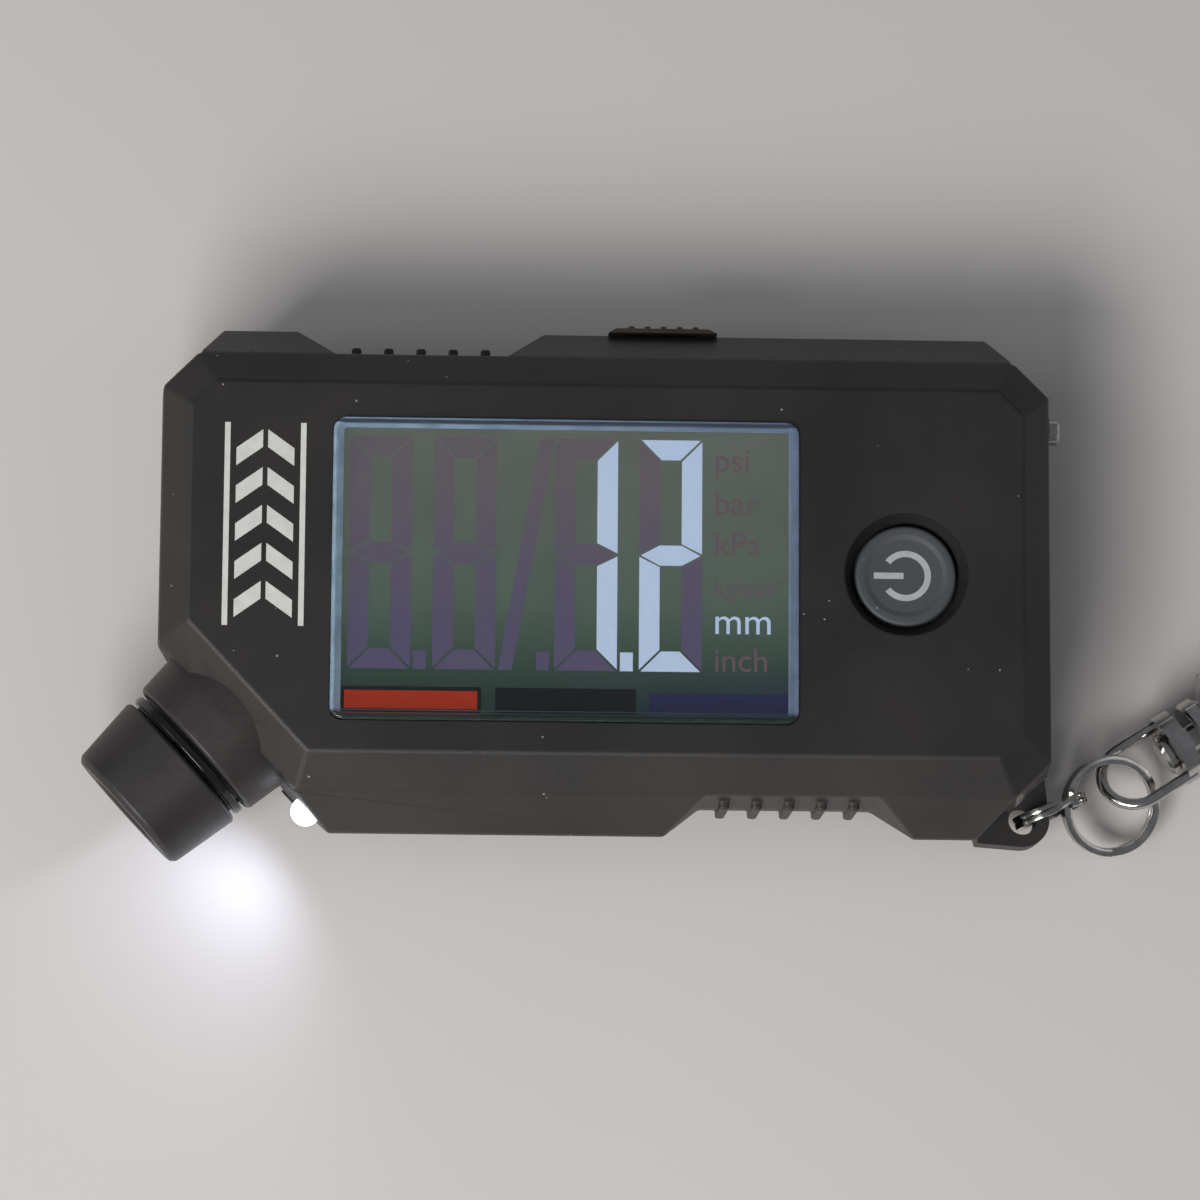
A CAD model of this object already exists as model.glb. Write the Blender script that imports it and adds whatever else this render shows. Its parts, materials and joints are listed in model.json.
import json
from math import cos, pi, radians, sin

import bmesh
import bpy
from mathutils import Matrix, Vector


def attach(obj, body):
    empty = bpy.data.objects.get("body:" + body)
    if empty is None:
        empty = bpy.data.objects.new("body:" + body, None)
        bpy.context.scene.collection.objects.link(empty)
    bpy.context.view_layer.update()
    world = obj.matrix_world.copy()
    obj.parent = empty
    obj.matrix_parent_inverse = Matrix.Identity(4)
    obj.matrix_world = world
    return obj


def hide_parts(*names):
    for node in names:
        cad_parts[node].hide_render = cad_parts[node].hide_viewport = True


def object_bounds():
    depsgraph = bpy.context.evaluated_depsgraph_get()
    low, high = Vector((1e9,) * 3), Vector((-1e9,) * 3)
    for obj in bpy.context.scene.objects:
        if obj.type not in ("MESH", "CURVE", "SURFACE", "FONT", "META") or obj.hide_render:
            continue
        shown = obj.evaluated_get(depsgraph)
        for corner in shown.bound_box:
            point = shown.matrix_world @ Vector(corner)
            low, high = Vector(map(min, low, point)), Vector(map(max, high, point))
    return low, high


# Digital tyre gauge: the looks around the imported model. Lengths are written in millimetres and scaled by MM.
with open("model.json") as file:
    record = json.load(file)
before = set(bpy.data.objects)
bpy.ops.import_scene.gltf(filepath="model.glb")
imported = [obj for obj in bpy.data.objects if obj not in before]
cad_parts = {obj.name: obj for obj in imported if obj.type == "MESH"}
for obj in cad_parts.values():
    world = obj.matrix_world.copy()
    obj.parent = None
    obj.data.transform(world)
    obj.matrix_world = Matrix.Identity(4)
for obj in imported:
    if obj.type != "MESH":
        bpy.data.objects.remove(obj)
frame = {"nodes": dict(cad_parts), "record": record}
cad_low, cad_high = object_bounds()
MM = 0.001

# Places on the body, in millimetres
top_z = 20.0
split_z = 10.0
screen_centre = (-4.2, -0.2)
screen_size = (46.8, 30.6)
panel_z = 17.1
button_centre = (30.0, -0.2)
button_z = 19.2
chuck_angle = radians(223)
chuck_shift = -15.4
lamp_shift = -3.2
probe_y = 16.4
window_radius = 1.3


# ---- Materials ----
class Paint:
    """A Principled material whose colour, roughness and bump come from object-space textures."""

    def __init__(self, name, **fixed):
        self.material = bpy.data.materials.new(name)
        self.material.use_nodes = True
        self.nodes = self.material.node_tree.nodes
        self.links = self.material.node_tree.links
        self.shader = self.nodes["Principled BSDF"]
        for key, value in fixed.items():
            self.shader.inputs[key.replace("_", " ")].default_value = value
        self.place = self.nodes.new("ShaderNodeTexCoord").outputs["Object"]
        self.last_normal = None

    def put(self, target, value):
        if isinstance(value, bpy.types.NodeSocket):
            self.links.new(value, target)
        else:
            target.default_value = value

    def stretch(self, factors):
        """Object coordinates multiplied axis by axis, for brushed and drawn grain."""
        node = self.nodes.new("ShaderNodeVectorMath")
        node.operation = "MULTIPLY"
        self.links.new(self.place, node.inputs[0])
        node.inputs[1].default_value = factors
        return node.outputs[0]

    def noise(self, scale, detail=3.0, rough=0.5, place=None):
        node = self.nodes.new("ShaderNodeTexNoise")
        self.links.new(place or self.place, node.inputs["Vector"])
        node.inputs["Scale"].default_value = scale
        node.inputs["Detail"].default_value = detail
        node.inputs["Roughness"].default_value = rough
        return node.outputs["Fac"]

    def cells(self, scale):
        node = self.nodes.new("ShaderNodeTexVoronoi")
        self.links.new(self.place, node.inputs["Vector"])
        node.inputs["Scale"].default_value = scale
        return node.outputs["Distance"]

    def along(self, axis):
        node = self.nodes.new("ShaderNodeSeparateXYZ")
        self.links.new(self.place, node.inputs[0])
        return node.outputs[axis]

    def spread(self, value, low, high, to_low=0.0, to_high=1.0):
        node = self.nodes.new("ShaderNodeMapRange")
        self.links.new(value, node.inputs["Value"])
        for key, number in zip(("From Min", "From Max", "To Min", "To Max"), (low, high, to_low, to_high)):
            node.inputs[key].default_value = number
        return node.outputs["Result"]

    def blend(self, factor, first, second):
        node = self.nodes.new("ShaderNodeMix")
        node.data_type = "RGBA"
        self.put(node.inputs[0], factor)
        self.put(node.inputs[6], first)
        self.put(node.inputs[7], second)
        return node.outputs[2]

    def colour(self, value):
        self.put(self.shader.inputs["Base Color"], value)

    def rough(self, value):
        self.put(self.shader.inputs["Roughness"], value)

    def glow(self, value, strength):
        self.put(self.shader.inputs["Emission Color"], value)
        self.shader.inputs["Emission Strength"].default_value = strength

    def bump(self, height, depth, strength=1.0):
        node = self.nodes.new("ShaderNodeBump")
        node.inputs["Strength"].default_value = strength
        node.inputs["Distance"].default_value = depth
        self.links.new(height, node.inputs["Height"])
        if self.last_normal:
            self.links.new(self.last_normal, node.inputs["Normal"])
        self.last_normal = node.outputs["Normal"]
        self.put(self.shader.inputs["Normal"], self.last_normal)


def rgb(red, green, blue):
    """Scene-linear colour from display values of 0 to 255."""
    levels = [v / 255 for v in (red, green, blue)]
    return tuple(((v + 0.055) / 1.055) ** 2.4 if v > 0.04 else v / 12.92 for v in levels) + (1.0,)


def textured_plastic(name, dark, light, grain=5200.0, depth=0.03, rough=0.5):
    """Spark-eroded moulding: fine grain, slow tone drift and a few pale specks of dust."""
    paint = Paint(name, IOR=1.5)
    tone = paint.blend(paint.spread(paint.noise(60.0), 0.35, 0.65), dark, light)
    grit = paint.noise(grain, 4.0, 0.6)
    tone = paint.blend(paint.spread(grit, 0.3, 0.8, 0.0, 0.35), tone, light)
    specks = paint.spread(paint.cells(330.0), 0.045, 0.03)
    paint.colour(paint.blend(specks, tone, rgb(150, 148, 145)))
    paint.rough(paint.spread(grit, 0.3, 0.7, rough - 0.07, rough + 0.09))
    paint.bump(grit, depth * MM, 0.6)
    return paint.material


def moulded_plastic(name, dark, light, rough=0.4):
    """Smooth moulding with faint flow marks."""
    paint = Paint(name, IOR=1.48)
    flow = paint.noise(180.0, 4.0)
    paint.colour(paint.blend(paint.spread(flow, 0.3, 0.7), dark, light))
    paint.rough(paint.spread(paint.noise(1500.0), 0.3, 0.7, rough - 0.06, rough + 0.06))
    paint.bump(paint.noise(2500.0, 2.0), 0.006 * MM, 0.5)
    return paint.material


def plated_metal(name, dark, light, rough=0.13, scratch=0.25):
    """Bright plating with hairline scratches, handling haze and slight waviness."""
    paint = Paint(name, Metallic=1.0)
    haze = paint.noise(420.0, 5.0, 0.6)
    lines = paint.noise(900.0, 3.0, 0.7, paint.stretch((1.0, 9.0, 4.0)))
    paint.colour(paint.blend(paint.spread(haze, 0.3, 0.75), light, dark))
    paint.rough(paint.spread(lines, 0.3, 0.8, rough * 0.6, rough * 1.8))
    paint.bump(lines, 0.004 * MM, scratch)
    paint.bump(paint.noise(500.0, 1.0), 0.02 * MM, 0.35)
    return paint.material


def drawn_metal(name, dark, light, grain, rough=0.3):
    """Metal with a drawn or turned grain along the given stretch."""
    paint = Paint(name, Metallic=1.0)
    lines = paint.noise(700.0, 4.0, 0.6, paint.stretch(grain))
    paint.colour(paint.blend(paint.spread(lines, 0.3, 0.7), dark, light))
    paint.rough(paint.spread(lines, 0.3, 0.7, rough - 0.1, rough + 0.1))
    paint.bump(lines, 0.006 * MM, 0.5)
    return paint.material


def rubber(name, dark, light, rough=0.7):
    paint = Paint(name, IOR=1.5)
    bloom = paint.noise(700.0, 5.0, 0.65)
    paint.colour(paint.blend(paint.spread(bloom, 0.3, 0.75), dark, light))
    paint.rough(paint.spread(bloom, 0.3, 0.7, rough - 0.1, rough + 0.1))
    paint.bump(bloom, 0.02 * MM, 0.5)
    return paint.material


def clear_window(name):
    """Polished acrylic with faint haze and hairlines."""
    paint = Paint(name, IOR=1.49, Transmission_Weight=1.0)
    haze = paint.noise(90.0, 3.0)
    paint.colour(paint.blend(haze, rgb(243, 248, 253), rgb(235, 243, 252)))
    lines = paint.noise(500.0, 2.0, 0.5, paint.stretch((1.0, 14.0, 1.0)))
    paint.rough(paint.spread(lines, 0.6, 0.8, 0.015, 0.09))
    return paint.material


def glowing_print(name, first, second, strength, dots=9000.0):
    """Liquid crystal segment or print lit from behind, with the diffuser's fine mottle."""
    paint = Paint(name, Roughness=0.45, Specular_IOR_Level=0.2)
    mottle = paint.blend(paint.spread(paint.noise(dots, 2.0), 0.3, 0.7), first, second)
    paint.colour(mottle)
    paint.glow(mottle, strength)
    return paint.material


def ghost_print(name):
    """Unlit segments: warm grey at the top of the screen, turning violet towards its foot."""
    paint = Paint(name, Roughness=0.45, Specular_IOR_Level=0.2)
    down = paint.spread(paint.along("Y"), 9.0 * MM, -6.0 * MM)
    tone = paint.blend(down, rgb(98, 86, 89), rgb(82, 72, 97))
    tone = paint.blend(paint.spread(paint.noise(140.0), 0.35, 0.7, 0.0, 0.35), tone, rgb(84, 80, 84))
    paint.colour(tone)
    paint.glow(tone, 0.7)
    return paint.material


def screen_ground(name):
    """Unlit liquid crystal ground: olive at the top, deep green below and violet towards one low corner."""
    paint = Paint(name, Roughness=0.35, Specular_IOR_Level=0.25)
    middle_y = screen_centre[1] * MM
    half_y = screen_size[1] / 2 * MM
    down = paint.spread(paint.along("Y"), middle_y + half_y, middle_y - half_y)
    across = paint.spread(paint.along("X"), (screen_centre[0] - 5) * MM, (screen_centre[0] + 24) * MM)
    ground = paint.blend(down, rgb(96, 98, 86), rgb(66, 90, 72))
    ground = paint.blend(paint.spread(down, 0.6, 0.92), ground, rgb(24, 48, 34))
    low = paint.spread(paint.along("Y"), middle_y - 0.55 * half_y, middle_y - half_y)
    node = paint.nodes.new("ShaderNodeMath")
    node.operation = "MULTIPLY"
    paint.links.new(low, node.inputs[0])
    paint.links.new(across, node.inputs[1])
    ground = paint.blend(node.outputs[0], ground, rgb(36, 38, 62))
    ground = paint.blend(paint.spread(paint.noise(120.0), 0.3, 0.7, 0.0, 0.25), ground, rgb(62, 60, 62))
    paint.colour(ground)
    paint.glow(ground, 0.72)
    return paint.material


def window_edge(name):
    """Frosted side wall of the window: pale blue, brightest at left, lined along the top, dark at the foot."""
    paint = Paint(name, Roughness=0.4, Specular_IOR_Level=0.4)
    high = screen_centre[1] + screen_size[1] / 2
    low = screen_centre[1] - screen_size[1] / 2
    across = paint.spread(paint.along("X"), -20 * MM, 18 * MM)
    tone = paint.blend(across, rgb(160, 184, 202), rgb(118, 134, 160))
    tone = paint.blend(paint.spread(paint.noise(500.0), 0.35, 0.7, 0.0, 0.4), tone, rgb(74, 90, 112))
    into_line = paint.spread(paint.along("Y"), (high - 0.62) * MM, (high - 0.52) * MM)
    out_of_line = paint.spread(paint.along("Y"), (high - 0.18) * MM, (high - 0.28) * MM)
    node = paint.nodes.new("ShaderNodeMath")
    node.operation = "MULTIPLY"
    paint.links.new(into_line, node.inputs[0])
    paint.links.new(out_of_line, node.inputs[1])
    tone = paint.blend(node.outputs[0], tone, rgb(58, 70, 82))
    foot = paint.spread(paint.along("Y"), (low + 1.2) * MM, (low + 0.7) * MM)
    tone = paint.blend(foot, tone, rgb(36, 50, 42))
    paint.colour(tone)
    paint.glow(tone, 0.3)
    return paint.material


def circuit_board(name):
    """Green solder mask over faint copper tracks."""
    paint = Paint(name, IOR=1.5, Coat_Weight=0.4, Coat_Roughness=0.15)
    tracks = paint.nodes.new("ShaderNodeTexBrick")
    paint.links.new(paint.place, tracks.inputs["Vector"])
    tracks.inputs["Scale"].default_value = 260.0
    tracks.inputs["Mortar Size"].default_value = 0.06
    tracks.inputs["Color1"].default_value = rgb(14, 84, 44)
    tracks.inputs["Color2"].default_value = rgb(10, 72, 38)
    tracks.inputs["Mortar"].default_value = rgb(52, 122, 66)
    paint.colour(paint.blend(paint.spread(paint.noise(300.0), 0.3, 0.7, 0.0, 0.3), tracks.outputs["Color"],
                             rgb(8, 60, 34)))
    paint.rough(paint.spread(paint.noise(900.0), 0.3, 0.7, 0.3, 0.45))
    return paint.material


def cell_jacket(name):
    """Printed battery sleeve: blue with a bright band near one end, and no lettering."""
    paint = Paint(name, IOR=1.5, Coat_Weight=0.5, Coat_Roughness=0.1)
    band = paint.spread(paint.along("X"), 18.0 * MM, 18.1 * MM)
    sleeve = paint.blend(paint.noise(200.0), rgb(26, 52, 96), rgb(34, 66, 116))
    paint.colour(paint.blend(band, sleeve, rgb(186, 160, 96)))
    paint.rough(paint.spread(paint.noise(800.0), 0.3, 0.7, 0.25, 0.4))
    return paint.material


black = rgb(32, 31, 30)
soft_black = rgb(46, 44, 42)
paints = {
    "black_shell": textured_plastic("shell_plastic", black, soft_black),
    "slider_black": textured_plastic("slider_plastic", rgb(64, 56, 52), rgb(78, 70, 65), 4200.0, 0.015),
    "chuck_black": textured_plastic("chuck_plastic", rgb(36, 34, 33), rgb(52, 49, 47), 4200.0, 0.02, 0.46),
    "gloss_black": moulded_plastic("chuck_ring_plastic", rgb(18, 18, 18), rgb(30, 29, 28), 0.16),
    "clear_lens": clear_window("window_acrylic"),
    "lcd_panel": moulded_plastic("lcd_glass_edge", rgb(16, 22, 20), rgb(26, 34, 30), 0.15),
    "white_diffuser": glowing_print("diffuser", rgb(214, 214, 206), rgb(236, 236, 230), 0.15, 700.0),
    "frame_grey": moulded_plastic("frame_plastic", rgb(88, 90, 94), rgb(104, 106, 110), 0.5),
    "board_green": circuit_board("solder_mask"),
    "chip_black": moulded_plastic("chip_resin", rgb(20, 20, 22), rgb(34, 34, 36), 0.45),
    "track_carbon": rubber("carbon_ink", rgb(26, 26, 28), rgb(44, 44, 46), 0.6),
    "button_grey": textured_plastic("button_silicone", rgb(70, 74, 76), rgb(84, 88, 90), 3600.0, 0.012, 0.5),
    "plunger_black": moulded_plastic("plunger_plastic", rgb(24, 24, 24), rgb(40, 38, 38), 0.4),
    "carriage_white": moulded_plastic("acetal", rgb(206, 206, 200), rgb(226, 226, 220), 0.4),
    "probe_steel": drawn_metal("ground_steel", rgb(150, 150, 150), rgb(205, 204, 202), (0.4, 9.0, 9.0), 0.26),
    "spring_steel": drawn_metal("spring_steel", rgb(160, 160, 158), rgb(205, 205, 200), (3.0, 3.0, 3.0), 0.28),
    "screw_black": drawn_metal("blackened_screw", rgb(40, 40, 42), rgb(74, 74, 76), (6.0, 6.0, 1.0), 0.36),
    "chrome": plated_metal("bright_plating", rgb(168, 166, 163), rgb(214, 213, 210)),
    "brass": drawn_metal("turned_brass", rgb(178, 138, 66), rgb(214, 176, 98), (4.0, 4.0, 4.0), 0.28),
    "seal_rubber": rubber("seal_rubber", rgb(22, 22, 22), rgb(40, 39, 38)),
    "tube_silicone": rubber("tube_silicone", rgb(188, 188, 184), rgb(212, 212, 208), 0.45),
    "cell_jacket": cell_jacket("cell_sleeve"),
    "lamp_clear": glowing_print("lamp_epoxy", rgb(226, 232, 255), rgb(244, 246, 255), 2.6, 1500.0),
}
print_white = rubber("print_ink", rgb(214, 213, 208), rgb(232, 231, 227), 0.55)
symbol_grey = rubber("symbol_ink", rgb(172, 178, 178), rgb(196, 200, 200), 0.5)
lit_paint = glowing_print("segment_lit", rgb(178, 190, 208), rgb(190, 201, 218), 0.66)
ghost_paint = ghost_print("segment_ghost")
unit_ghost_paint = glowing_print("unit_ghost", rgb(102, 80, 84), rgb(92, 76, 80), 0.72)
red_paint = glowing_print("bar_red", rgb(152, 38, 4), rgb(166, 44, 8), 0.62)
dark_bar_paint = glowing_print("bar_dark", rgb(24, 26, 24), rgb(18, 20, 18), 0.2)
blue_bar_paint = glowing_print("bar_violet", rgb(42, 40, 78), rgb(36, 36, 66), 0.5)
ground_paint = screen_ground("screen_ground")
wall_paint = window_edge("window_wall")
gasket_paint = rubber("gasket_rubber", rgb(11, 10, 10), rgb(18, 17, 17), 0.8)

slots = {row["node"]: row["material_slot"] for row in frame["record"]["subparts"]}
for node, cad in frame["nodes"].items():
    for index in range(len(cad.material_slots)):
        cad.material_slots[index].material = paints[slots[node]]


# ---- Mesh helpers ----
def finished(name, mesh_maker, paint, body, replaced=(), smooth=True):
    """Turns a filled bmesh into an object that rides on a body."""
    mesh = bpy.data.meshes.new(name)
    bmesh.ops.recalc_face_normals(mesh_maker, faces=mesh_maker.faces)
    mesh_maker.to_mesh(mesh)
    mesh_maker.free()
    piece = bpy.data.objects.new(name, mesh)
    bpy.context.scene.collection.objects.link(piece)
    mesh.materials.append(paint)
    if smooth:
        mesh.shade_smooth()
        mesh.set_sharp_from_angle(angle=radians(32))
        weighted = piece.modifiers.new("flat_faces", "WEIGHTED_NORMAL")
        weighted.keep_sharp = True
    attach(piece, body)
    if replaced:
        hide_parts(*replaced)
    return piece


def add_prism(maker, outline, low, high):
    """Closed prism on a flat outline given in millimetres."""
    bottom = [maker.verts.new((x * MM, y * MM, low * MM)) for x, y in outline]
    top = [maker.verts.new((x * MM, y * MM, high * MM)) for x, y in outline]
    maker.faces.new(bottom[::-1])
    maker.faces.new(top)
    for index in range(len(outline)):
        after = (index + 1) % len(outline)
        maker.faces.new((bottom[index], bottom[after], top[after], top[index]))


def add_turned(maker, profile, matrix, segments=96):
    """Solid turned about the matrix's X axis from closed (station, radius) points in millimetres."""
    rows = []
    for station, radius in profile:
        if radius < 1e-6:
            rows.append([maker.verts.new(matrix @ Vector((station * MM, 0, 0)))])
            continue
        ring = []
        for step in range(segments):
            turn = 2 * pi * step / segments
            point = Vector((station * MM, radius * MM * cos(turn), radius * MM * sin(turn)))
            ring.append(maker.verts.new(matrix @ point))
        rows.append(ring)
    for first, second in zip(rows, rows[1:] + rows[:1]):
        if len(first) == 1 and len(second) == 1:
            continue
        for step in range(segments):
            after = (step + 1) % segments
            corners = [first[step % len(first)], first[after % len(first)], second[after % len(second)],
                       second[step % len(second)]]
            corners = list(dict.fromkeys(corners))
            maker.faces.new(corners)


def rounded(points, radii, steps=5):
    """The closed outline with each corner rounded by its radius, or left alone at 0."""
    result = []
    for index, (x, y) in enumerate(points):
        corner, radius = Vector((x, y)), radii[index]
        before = Vector(points[index - 1]) - corner
        after = Vector(points[(index + 1) % len(points)]) - corner
        if radius == 0:
            result.append((x, y))
            continue
        half = before.angle(after) / 2
        reach = min(radius / max(1e-6, abs(sin(half) / cos(half))), before.length / 2, after.length / 2)
        for step in range(steps + 1):
            t = step / steps
            bend = corner + before.normalized() * reach * (1 - t) ** 2 + after.normalized() * reach * t ** 2
            result.append((bend.x, bend.y))
    return result


def chuck_frame(shift):
    """Matrix whose X axis runs out along the chuck's axis at the parting height."""
    way = Vector((cos(chuck_angle), sin(chuck_angle), 0))
    origin = Vector((-way.y * shift, way.x * shift, split_z)) * MM
    up = Vector((0, 0, 1))
    side = up.cross(way)
    return Matrix.Translation(origin) @ Matrix((way, side, up)).transposed().to_4x4()


chuck = chuck_frame(chuck_shift)
lamp = chuck_frame(lamp_shift)


# ---- Shells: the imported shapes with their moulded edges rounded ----
side_z = 16.6
half_length = (44.9, 41.9)
half_width = (22.3, 18.7)
diagonal = (37.8, 34.5)
corner_cut = (3.6, 2.5)
face_start = 30
collar_reach = 9.4
lamp_reach = 2.6
probe_reach = 2.8
slot_reach = 1.8
sharp_angle = radians(13)


def station_and_radius(point, matrix):
    """Distance along the matrix's X axis and distance from it, in millimetres."""
    local = matrix.inverted() @ (point * MM)
    return local.x / MM, Vector((local.y, local.z)).length / MM


def on_outside(point):
    """True on the body's faceted outside, away from the holes for the chuck, lamp, probe, slider and lug."""
    for matrix, reach in ((chuck, collar_reach), (lamp, lamp_reach)):
        station, radius = station_and_radius(point, matrix)
        if station > face_start and radius < reach:
            return False
    if point.x > 40 and Vector((point.y - probe_y, point.z - split_z)).length < probe_reach:
        return False
    if -1 < point.x < 26 and point.y > 20 and abs(point.z - split_z) < slot_reach:
        return False
    if point.x > 36 and point.y < -15 and point.z < 8:
        return False
    height = abs(point.z - split_z) + split_z
    rise = max(0.0, (height - side_z) / (top_z - side_z))
    levels = (half_length, half_width, diagonal, corner_cut)
    length, width, cut, trim = (low + (high - low) * rise for low, high in levels)
    along_chuck = point.x * cos(chuck_angle) + point.y * sin(chuck_angle)
    slack = 0.25
    on_end = abs(point.x) > length - slack
    on_side = abs(point.y) > width - slack
    on_corner = abs(point.x) + abs(point.y) > length + width - trim - slack
    return on_end or on_side or on_corner or along_chuck > cut - slack


def softened(node, name, passes, body="root"):
    """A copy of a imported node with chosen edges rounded. Each pass is (width in mm, segments, chooser)."""
    maker = bmesh.new()
    maker.from_mesh(frame["nodes"][node].data)
    bmesh.ops.remove_doubles(maker, verts=maker.verts, dist=2e-6)
    bmesh.ops.dissolve_limit(maker, angle_limit=radians(0.6), verts=maker.verts, edges=maker.edges)
    for width, segments, chooser in passes:
        chosen = []
        for edge in maker.edges:
            if len(edge.link_faces) == 2 and edge.calc_face_angle() > sharp_angle:
                ends = [vert.co / MM for vert in edge.verts]
                if chooser(ends[0], ends[1]):
                    chosen.append(edge)
        bmesh.ops.bevel(maker, geom=chosen, offset=width * MM, offset_type="OFFSET", segments=segments,
                        profile=0.5, affect="EDGES", clamp_overlap=False)
    return finished(name, maker, paints[slots[node]], body, (node,))


def main_edge(first, second):
    middle = (first + second) / 2
    clear_of_split = max(abs(first.z - split_z), abs(second.z - split_z)) > 0.05
    return clear_of_split and on_outside(middle) and on_outside(first) and on_outside(second)


def split_edge(first, second):
    on_split = max(abs(first.z - split_z), abs(second.z - split_z)) < 0.02
    return on_split and on_outside(first) and on_outside(second)


def window_edge(first, second):
    return min(first.z, second.z) > top_z - 0.02 and not on_outside((first + second) / 2)


def base_edge(first, second):
    return max(first.z, second.z) < 0.02 and not on_outside((first + second) / 2)


softened("front_shell", "front_shell_rounded",
         [(0.3, 3, main_edge), (0.1, 2, split_edge), (0.12, 2, window_edge)])
softened("back_shell", "back_shell_rounded",
         [(0.3, 3, main_edge), (0.1, 2, split_edge), (0.12, 2, base_edge)])
softened("battery_door", "battery_door_rounded", [(0.12, 2, base_edge)])


def slider_edge(first, second):
    return min(first.y, second.y) > 25.9


softened("tread_slider", "slider_rounded", [(0.12, 2, slider_edge)], "probe")

# ---- Window: a thick clear pane whose frosted side walls catch the light ----
def window_outline(inset, corner_steps=6):
    """The window's rounded oblong, brought in by inset millimetres."""
    half_x, half_y = screen_size[0] / 2 - inset, screen_size[1] / 2 - inset
    radius = max(0.35, window_radius - inset)
    corners = [(1, 1, 0), (-1, 1, pi / 2), (-1, -1, pi), (1, -1, 3 * pi / 2)]
    points = []
    for way_x, way_y, first_turn in corners:
        for step in range(corner_steps + 1):
            turn = first_turn + pi / 2 * step / corner_steps
            points.append((screen_centre[0] + way_x * (half_x - radius) + radius * cos(turn),
                           screen_centre[1] + way_y * (half_y - radius) + radius * sin(turn)))
    return points


def add_window_loft(maker, levels, ring):
    """Rows of the window's outline at (inset, height), joined into a ring or closed with flat ends."""
    rows = []
    for inset, z in levels:
        rows.append([maker.verts.new((x * MM, y * MM, z * MM)) for x, y in window_outline(inset)])
    pairs = list(zip(rows, rows[1:]))
    if ring:
        pairs.append((rows[-1], rows[0]))
    else:
        maker.faces.new(rows[0][::-1])
        maker.faces.new(rows[-1])
    for before, after in pairs:
        for index in range(len(before)):
            step = (index + 1) % len(before)
            maker.faces.new((before[index], before[step], after[step], after[index]))


pane_levels = [(-1.2, 17.2), (-1.2, 18.2), (0, 18.2), (0, 20.05), (0.03, 20.18), (0.11, 20.3), (0.22, 20.37),
               (0.36, 20.4), (0.8, 20.4), (0.9, 20.38), (1.02, 20.3), (1.12, 20.28)]
maker = bmesh.new()
add_window_loft(maker, pane_levels, False)
finished("window_pane", maker, paints["clear_lens"], "root", ("screen_lens",))
wall_levels = [(0.08, 18.3), (0.08, 20.0), (0.2, 20.12), (0.36, 20.14), (0.46, 20.06), (0.86, 18.3)]
maker = bmesh.new()
add_window_loft(maker, wall_levels, True)
finished("window_wall", maker, wall_paint, "root")

# ---- Printed tread pictogram ----
pictogram_x = -34.4
maker = bmesh.new()
for row in range(5):
    foot = -3.5 + row * 3.85
    for side in (-1, 1):
        outline = [(pictogram_x + side * 0.25, foot), (pictogram_x + side * 2.9, foot - 1.9),
                   (pictogram_x + side * 2.9, foot - 0.1), (pictogram_x + side * 0.25, foot + 1.8)]
        add_prism(maker, outline if side > 0 else outline[::-1], top_z, top_z + 0.025)
for side in (-1, 1):
    edge = pictogram_x + side * 3.8
    add_prism(maker, [(edge - 0.28, -6.2), (edge + 0.28, -6.2), (edge + 0.28, 14.4), (edge - 0.28, 14.4)],
              top_z, top_z + 0.025)
finished("tread_pictogram", maker, print_white, "root", smooth=False)


# ---- Screen contents ----
stroke = 2.05
digit_width = 6.3
digit_height = 23.6
digit_foot = -10.1
gap = 0.16
ground_top = panel_z + 0.02
print_top = panel_z + 0.05


def segment_outlines(left):
    """The seven mitred bars of one digit, by their usual letters."""
    w, h, s, g = digit_width, digit_height, stroke, gap
    middle = h / 2
    shapes = {
        "a": [(g, h), (w - g, h), (w - s - g, h - s), (s + g, h - s)],
        "b": [(w, h - g), (w - s, h - s - g), (w - s, middle + s / 2 + g), (w, middle + g)],
        "c": [(w, middle - g), (w - s, middle - s / 2 - g), (w - s, s + g), (w, g)],
        "d": [(g, 0), (s + g, s), (w - s - g, s), (w - g, 0)],
        "e": [(0, g), (s, s + g), (s, middle - s / 2 - g), (0, middle - g)],
        "f": [(0, middle + g), (s, middle + s / 2 + g), (s, h - s - g), (0, h - g)],
        "g": [(g, middle), (s, middle + s / 2), (w - s, middle + s / 2), (w - g, middle),
              (w - s, middle - s / 2), (s, middle - s / 2)],
    }
    return {key: [(left + x, digit_foot + y) for x, y in shape] for key, shape in shapes.items()}


def box_outline(left, low, right, high):
    return [(left, low), (right, low), (right, high), (left, high)]


digits = [(-25.95, ""), (-17.45, ""), (-5.25, "bc"), (3.25, "abged")]
dots = [(-19.4, False), (-7.05, False), (1.35, True)]
lit, ghost = bmesh.new(), bmesh.new()
for left, shown in digits:
    for key, outline in segment_outlines(left).items():
        add_prism(lit if key in shown else ghost, outline, ground_top, print_top)
for left, shown in dots:
    add_prism(lit if shown else ghost, box_outline(left, digit_foot, left + 1.3, digit_foot + 1.9), ground_top,
              print_top)
add_prism(ghost, [(-10.9, -10.1), (-9.5, -10.1), (-5.3, 13.5), (-6.7, 13.5)], ground_top, print_top)
finished("segments_lit", lit, lit_paint, "root", smooth=False)
finished("segments_ghost", ghost, ghost_paint, "root", smooth=False)

bars = [("bar_red", -26.2, -12.9, red_paint), ("bar_dark", -10.7, 2.6, dark_bar_paint),
        ("bar_violet", 4.3, 18.3, blue_bar_paint)]
for name, left, right, paint in bars:
    maker = bmesh.new()
    add_prism(maker, box_outline(left, -14.4, right, -12.3), ground_top + 0.01, print_top)
    finished(name, maker, paint, "root", smooth=False)
maker = bmesh.new()
for name, left, right, paint in bars[:2]:
    add_prism(maker, box_outline(left - 0.4, -14.8, right + 0.4, -11.9), ground_top, ground_top + 0.008)
finished("bar_borders", maker, dark_bar_paint, "root", smooth=False)

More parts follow.
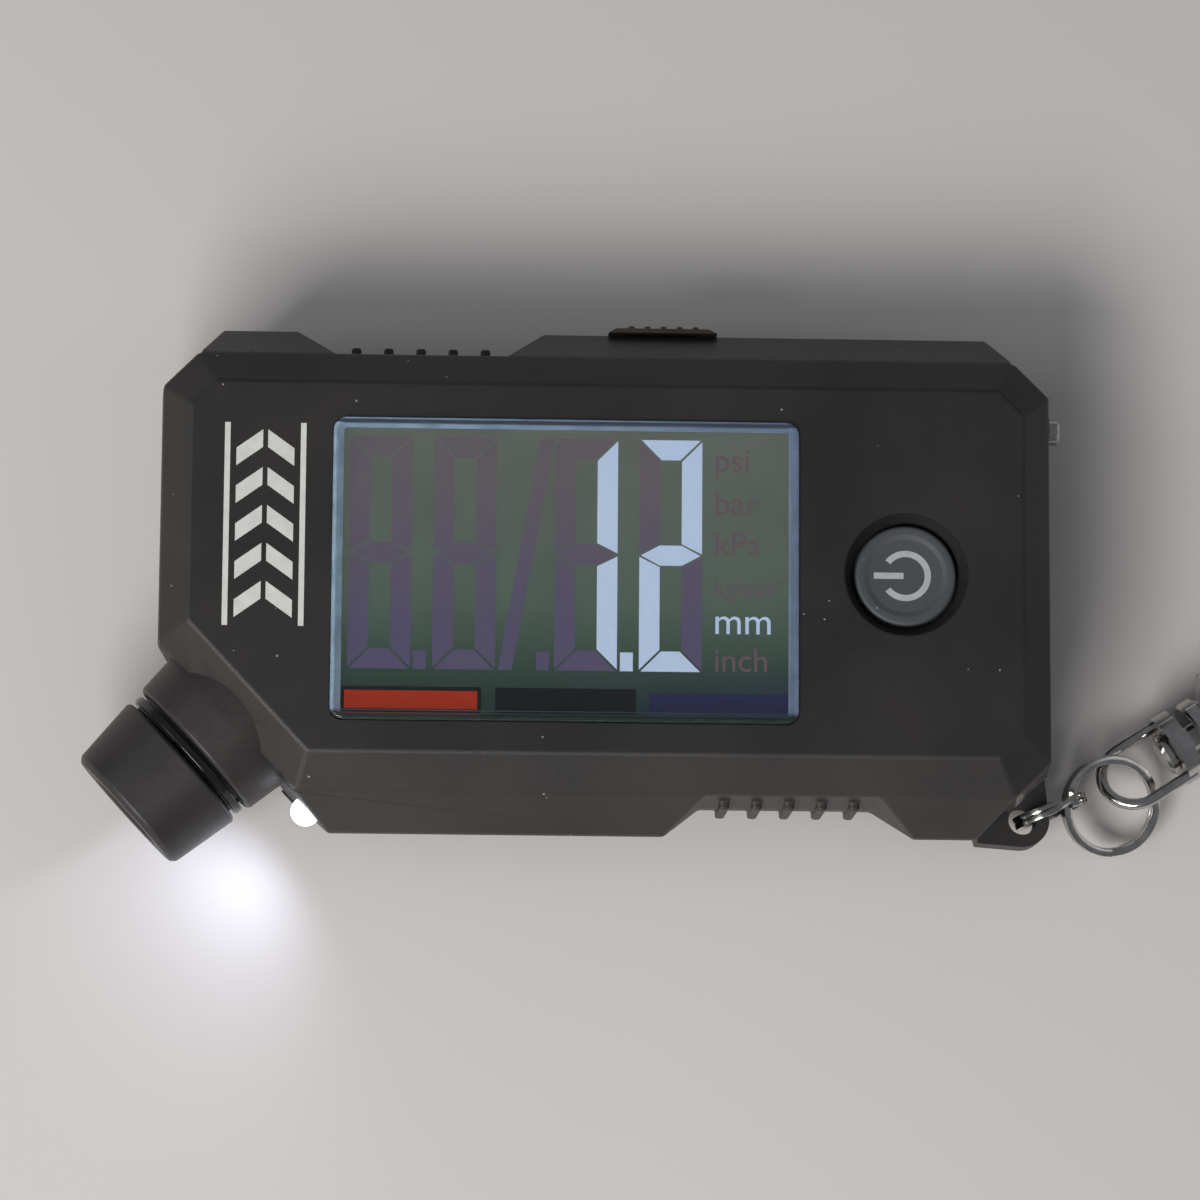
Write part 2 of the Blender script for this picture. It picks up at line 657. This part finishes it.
maker = bmesh.new()
x, y = screen_centre
half_x, half_y = screen_size[0] / 2 + 0.5, screen_size[1] / 2 + 0.5
add_prism(maker, box_outline(x - half_x, y - half_y, x + half_x, y + half_y), panel_z, ground_top)
finished("screen_ground", maker, ground_paint, "root", smooth=False)


def unit_label(name, text, foot, paint, size):
    """One unit word of the display, as thin solid letters in Blender's own font."""
    curve = bpy.data.curves.new(name, "FONT")
    curve.body = text
    curve.size = size * MM
    curve.extrude = 0.012 * MM
    curve.align_x = "LEFT"
    holder = bpy.data.objects.new(name + "_outline", curve)
    bpy.context.scene.collection.objects.link(holder)
    bpy.context.view_layer.update()
    mesh = bpy.data.meshes.new_from_object(holder.evaluated_get(bpy.context.evaluated_depsgraph_get()))
    bpy.data.objects.remove(holder)
    maker = bmesh.new()
    maker.from_mesh(mesh)
    bpy.data.meshes.remove(mesh)
    bmesh.ops.remove_doubles(maker, verts=maker.verts, dist=1e-7)
    bmesh.ops.translate(maker, verts=maker.verts, vec=Vector((10.7, foot, ground_top + 0.014)) * MM)
    return finished(name, maker, paint, "root", smooth=False)


units = [("psi", 10.4), ("bar", 6.0), ("kPa", 1.8), ("kg/cm²", -2.4), ("mm", -6.2), ("inch", -10.0)]
for text, foot in units:
    is_lit = text == "mm"
    label = "unit_" + "".join(letter for letter in text if letter.isascii() and letter.isalnum())
    size = 3.9 if is_lit else (2.45 if len(text) > 4 else 3.4)
    unit_label(label, text, foot, lit_paint if is_lit else unit_ghost_paint, size)

# ---- Power button and its symbol ----
button_place = Matrix.Translation(Vector((button_centre[0], button_centre[1], 0)) * MM) @ Matrix(
    ((0, 1, 0), (0, 0, 1), (1, 0, 0))).to_4x4()
cap = [(17.1, 0), (17.1, 6.4), (17.9, 6.4), (17.9, 5.1), (button_z, 5.1), (button_z, 4.2), (19.04, 3.7),
       (19.0, 0)]
maker = bmesh.new()
add_turned(maker, rounded(cap, [0, 0.1, 0.1, 0, 0.45, 0.5, 0.3, 0]), button_place)
finished("button_cap", maker, paints["button_grey"], "button", ("power_button",))

# A black gasket lines the recess round the button
gasket = [(18.15, 5.2), (19.98, 6.2), (19.98, 6.33), (18.15, 5.4)]
maker = bmesh.new()
add_turned(maker, gasket, button_place)
finished("button_gasket", maker, gasket_paint, "root")

maker = bmesh.new()
x, y = button_centre
arc_radius = 2.25
stroke_half = 0.32
mouth = radians(38)
steps = 28
for step in range(steps):
    ends = [pi + mouth + (2 * pi - 2 * mouth) * (step + more) / steps for more in (0, 1)]
    corners = [(ends[0], arc_radius - stroke_half), (ends[0], arc_radius + stroke_half),
               (ends[1], arc_radius + stroke_half), (ends[1], arc_radius - stroke_half)]
    add_prism(maker, [(x + r * cos(turn), y + r * sin(turn)) for turn, r in corners], 18.95, 19.06)
add_prism(maker, box_outline(x - 3.2, y - stroke_half, x - 0.2, y + stroke_half), 18.95, 19.06)
finished("button_symbol", maker, symbol_grey, "button", smooth=False)

# ---- Chuck ----
head = [(43.85, 6.0), (43.85, 7.65), (44.15, 7.95), (51.05, 7.15), (51.55, 6.65), (51.55, 4.45), (51.15, 4.05),
        (47.6, 4.05), (47.6, 6.0)]
maker = bmesh.new()
add_turned(maker, rounded(head, [0, 0.2, 0.3, 0.6, 0.3, 0.25, 0.3, 0, 0]), chuck, 128)
finished("chuck_head_turned", maker, paints["chuck_black"], "root", ("chuck_head",))
ring = [(42.6, 7.0), (42.6, 7.7), (43.45, 7.7), (43.45, 7.0)]
maker = bmesh.new()
add_turned(maker, rounded(ring, [0, 0.22, 0.22, 0]), chuck, 128)
finished("chuck_ring_turned", maker, paints["gloss_black"], "root", ("chuck_ring",))


def collar_edge(first, second):
    return all(station > 37.95 and radius > 7.5 for station, radius in
               (station_and_radius(first, chuck), station_and_radius(second, chuck)))


softened("chuck_collar", "chuck_collar_rounded", [(0.12, 2, collar_edge)])


# ---- Split rings, wound from two turns of flat wire ----
def wound_ring(name, node, body, centre, normal, start_way, outer_radius, thickness, width):
    """Two turns side by side, crossing over once; the cut ends lie flat against the turn beside them."""
    axis = Vector(normal).normalized()
    first = (Vector(start_way) - axis * Vector(start_way).dot(axis)).normalized()
    second = axis.cross(first)
    half_thick, half_wide, soft = thickness / 2, width / 4 - 0.015, 0.14
    section = rounded([(-half_thick, -half_wide), (half_thick, -half_wide), (half_thick, half_wide),
                       (-half_thick, half_wide)], [soft] * 4, 3)
    start, end = 0.12, 4 * pi - 0.12
    steps = 168
    maker = bmesh.new()
    rows = []
    for step in range(steps + 1):
        turn = start + (end - start) * step / steps
        cross = min(1.0, max(0.0, (turn - (2 * pi - 0.5)) / 1.0))
        shift = (cross * cross * (3 - 2 * cross) - 0.5) * width / 2
        outward = first * cos(turn) + second * sin(turn)
        middle = Vector(centre) + outward * (outer_radius - thickness / 2) + axis * shift
        rows.append([maker.verts.new((middle + outward * out + axis * side) * MM) for out, side in section])
    for before, after in zip(rows, rows[1:]):
        for index in range(len(section)):
            step = (index + 1) % len(section)
            maker.faces.new((before[index], before[step], after[step], after[index]))
    maker.faces.new(rows[0][::-1])
    maker.faces.new(rows[-1])
    finished(name, maker, paints["chrome"], body, (node,))


wound_ring("small_ring_wound", "small_split_ring", "small_ring", (46.181, -22.217, 5.4),
           (-sin(radians(21)), cos(radians(21)), 0), (0.3, 0.1, 0.9), 4.05, 0.8, 1.3)
wound_ring("large_ring_wound", "large_split_ring", "large_ring", (52.681, -21.317, 3.15),
           (0.2185, -0.2185, 0.951), (0.2, -1.0, 0.0), 5.25, 0.85, 1.3)

# ---- Floor ----
maker = bmesh.new()
floor_z = cad_low[2] - 0.05 * MM
corners = [(-2, -2), (2, -2), (2, 2), (-2, 2)]
maker.faces.new([maker.verts.new((x, y, floor_z)) for x, y in corners])
floor_mesh = bpy.data.meshes.new("floor")
maker.to_mesh(floor_mesh)
maker.free()
floor = bpy.data.objects.new("floor", floor_mesh)
bpy.context.scene.collection.objects.link(floor)
floor_paint = Paint("floor_paper", Roughness=0.85)
floor_paint.colour(floor_paint.blend(floor_paint.noise(9.0), rgb(212, 208, 205), rgb(220, 216, 213)))
floor_mesh.materials.append(floor_paint.material)


# ---- Light ----
def panel_light(name, place, target, size, watts, tint):
    light = bpy.data.lights.new(name, "AREA")
    light.shape = "RECTANGLE"
    light.size, light.size_y = size
    light.energy = watts
    light.color = tint
    holder = bpy.data.objects.new(name, light)
    bpy.context.scene.collection.objects.link(holder)
    holder.location = place
    holder.rotation_euler = (Vector(target) - Vector(place)).to_track_quat("-Z", "Y").to_euler()


panel_light("key", (-0.34, -0.50, 0.52), (0, 0, 0), (0.55, 0.30), 5.4, (1.0, 0.985, 0.97))
panel_light("fill", (-0.60, 0.05, 0.50), (0, 0, 0), (0.4, 0.4), 0.7, (0.96, 0.98, 1.0))
panel_light("right", (0.60, -0.05, 0.45), (0, 0, 0), (0.3, 0.5), 0.25, (1.0, 0.99, 0.98))
lamp_glow = bpy.data.lights.new("lamp_glow", "SPOT")
lamp_glow.energy = 0.009
lamp_glow.spot_size = radians(150)
lamp_glow.spot_blend = 1.0
lamp_glow.color = (0.72, 0.78, 1.0)
lamp_glow.shadow_soft_size = 1.2 * MM
glow_holder = bpy.data.objects.new("lamp_glow", lamp_glow)
glow_holder.location = lamp @ Vector((41.0 * MM, 0, 0))
glow_way = Vector((cos(chuck_angle), sin(chuck_angle), -0.25))
glow_holder.rotation_euler = glow_way.to_track_quat("-Z", "Y").to_euler()
bpy.context.scene.collection.objects.link(glow_holder)

world = bpy.data.worlds.new("studio")
bpy.context.scene.world = world
world.use_nodes = True
world.node_tree.nodes["Background"].inputs["Color"].default_value = (0.9, 0.93, 1.0, 1.0)
world.node_tree.nodes["Background"].inputs["Strength"].default_value = 0.17
bpy.context.scene.view_settings.view_transform = "Standard"

# ---- Camera ----
lens_distance = 500 * MM
photo_width = 120 * MM
aim = Vector((-0.75, -3.2, 20.0)) * MM
toward = Vector((-0.037, -0.16, 1.0)).normalized()
camera_data = bpy.data.cameras.new("camera")
camera_data.sensor_width = 36.0
camera_data.lens = 36.0 * lens_distance / photo_width
camera_data.clip_start = 0.01
camera = bpy.data.objects.new("camera", camera_data)
bpy.context.scene.collection.objects.link(camera)
right_way = Vector((0, 1, 0)).cross(toward).normalized()
up_way = toward.cross(right_way)
turned_frame = Matrix((right_way, up_way, toward)).transposed() @ Matrix.Rotation(radians(0.4), 3, "Z")
camera.matrix_world = Matrix.Translation(aim + toward * lens_distance) @ turned_frame.to_4x4()
bpy.context.scene.camera = camera
